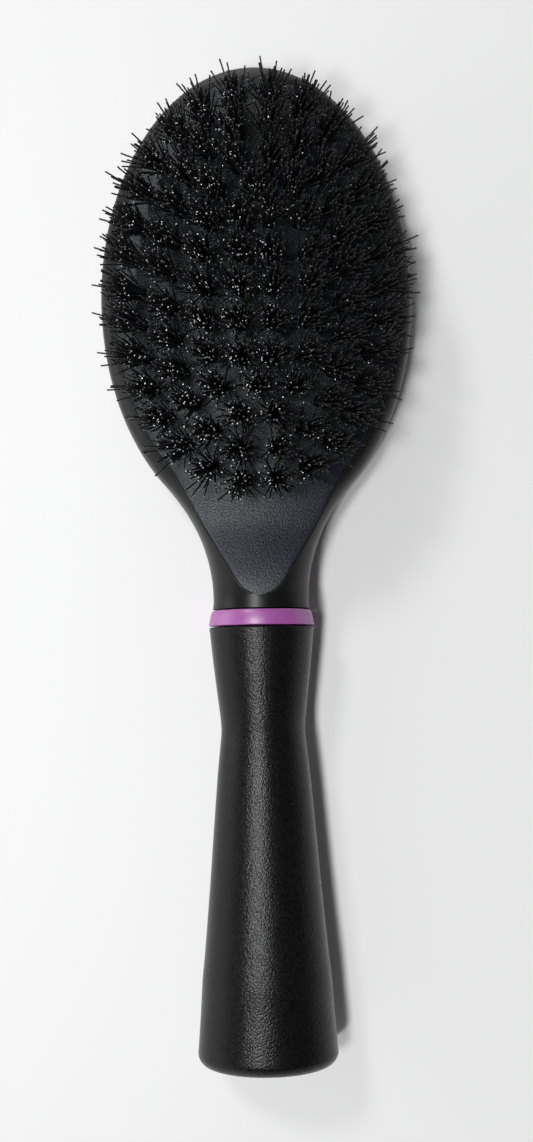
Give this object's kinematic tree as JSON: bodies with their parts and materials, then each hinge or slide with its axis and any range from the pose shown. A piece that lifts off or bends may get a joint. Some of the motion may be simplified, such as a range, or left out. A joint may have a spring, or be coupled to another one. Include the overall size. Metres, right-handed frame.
{
  "type": "bristle brush",
  "caption": "Hand-held grooming brush: oval head with a crowned tufted face, round neck with a coloured collar and a waisted soft grip.",
  "frame": {"origin": "middle of the footprint, on the surface that the brush lies on", "axes": "+Y along the brush from the handle's end to the toe of the head, +Z the way the bristles point"},
  "size_m": [0.07, 0.225, 0.0343],
  "materials": {
    "shell": "satin black moulded plastic",
    "face": "spark-textured bluish charcoal plastic",
    "bristle": "glossy black nylon bristle",
    "collar": "satin purple plastic",
    "core": "plain dark plastic, hidden",
    "grip": "fine-grained soft-touch black rubber"
  },
  "bodies": {
    "root": {"collar_ring": "collar", "face_plate": "face", "grip_sleeve": "grip", "handle_core": "core", "head_shell": "shell", "tuft_centre_01": "bristle", "tuft_centre_02": "bristle", "tuft_centre_03": "bristle", "tuft_centre_04": "bristle", "tuft_centre_05": "bristle", "tuft_centre_06": "bristle", "tuft_centre_07": "bristle", "tuft_centre_08": "bristle", "tuft_centre_09": "bristle", "tuft_centre_10": "bristle", "tuft_centre_11": "bristle", "tuft_centre_12": "bristle", "tuft_pair_inner_01": "bristle", "tuft_pair_inner_02": "bristle", "tuft_pair_inner_03": "bristle", "tuft_pair_inner_04": "bristle", "tuft_pair_inner_05": "bristle", "tuft_pair_inner_06": "bristle", "tuft_pair_inner_07": "bristle", "tuft_pair_inner_08": "bristle", "tuft_pair_inner_09": "bristle", "tuft_pair_middle_01": "bristle", "tuft_pair_middle_02": "bristle", "tuft_pair_middle_03": "bristle", "tuft_pair_middle_04": "bristle", "tuft_pair_middle_05": "bristle", "tuft_pair_middle_06": "bristle", "tuft_pair_middle_07": "bristle", "tuft_pair_middle_08": "bristle", "tuft_pair_middle_09": "bristle", "tuft_pair_middle_10": "bristle", "tuft_pair_middle_11": "bristle", "tuft_pair_middle_12": "bristle", "tuft_pair_outer_01": "bristle", "tuft_pair_outer_02": "bristle", "tuft_pair_outer_03": "bristle", "tuft_pair_outer_04": "bristle", "tuft_pair_outer_05": "bristle", "tuft_pair_outer_06": "bristle", "tuft_pair_outer_07": "bristle", "tuft_pair_outer_08": "bristle", "tuft_pair_outer_09": "bristle", "tuft_pair_outer_10": "bristle", "tuft_pair_outer_11": "bristle", "tuft_pair_outer_12": "bristle", "tuft_pair_outer_13": "bristle", "tuft_pair_outer_14": "bristle", "tuft_pair_outer_15": "bristle"}
  },
  "joints": []
}
